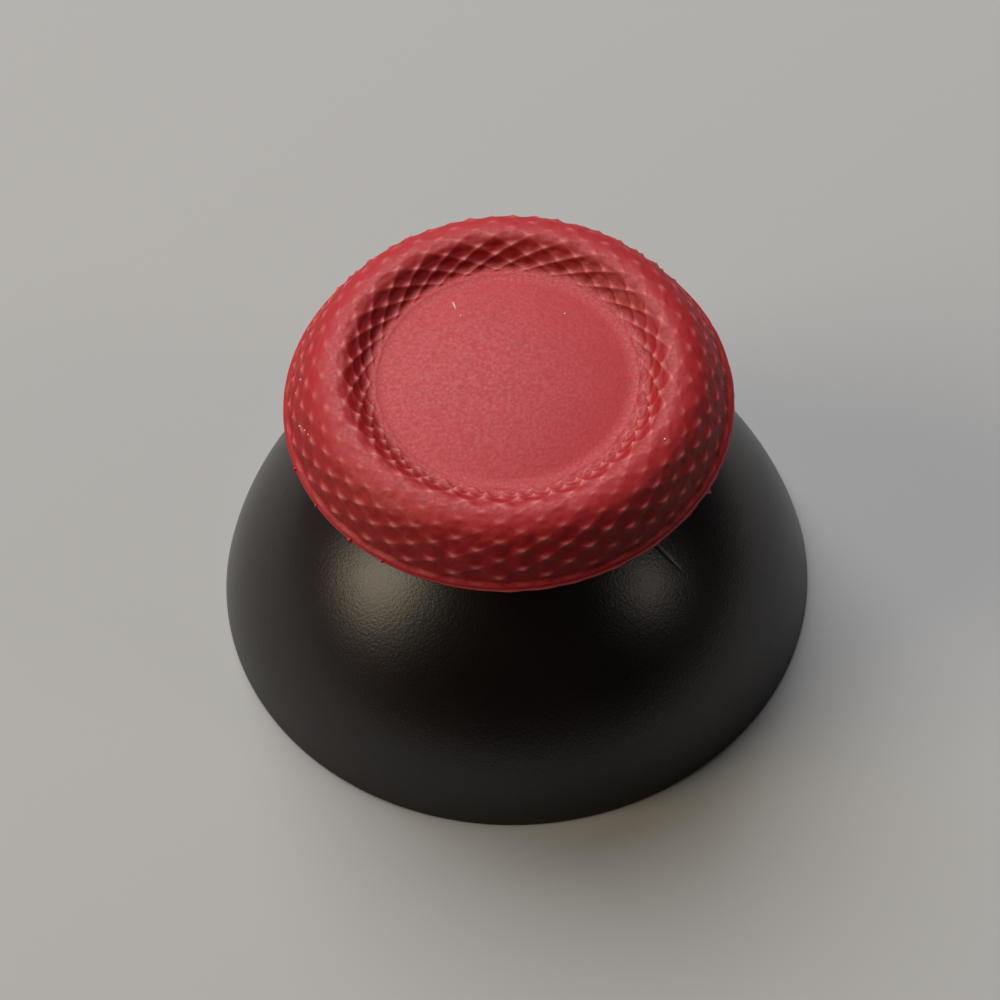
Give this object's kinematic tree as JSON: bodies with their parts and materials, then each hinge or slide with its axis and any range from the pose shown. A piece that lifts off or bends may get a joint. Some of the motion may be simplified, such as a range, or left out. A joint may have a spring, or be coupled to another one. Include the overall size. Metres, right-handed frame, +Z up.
{
  "type": "controller thumb grip",
  "caption": "Domed stick cap for a game controller: hard hollow dome on a neck, with a knurled soft rubber thumb pad and a flatted shaft socket inside.",
  "frame": {"origin": "centre of the dome's open rim, on the plane that the part stands on", "axes": "+Z up along the stick's axis, from the rim to the thumb pad; the socket's two flats face +Y and -Y"},
  "size_m": [0.0248, 0.0248, 0.0155],
  "materials": {
    "hard_plastic": "satin black moulded plastic with a fine orange-peel skin",
    "grip_rubber": "matte red soft rubber with a fine speckled grain"
  },
  "bodies": {
    "root": {"dome_body": "hard_plastic", "grip_cap": "grip_rubber"}
  },
  "joints": []
}
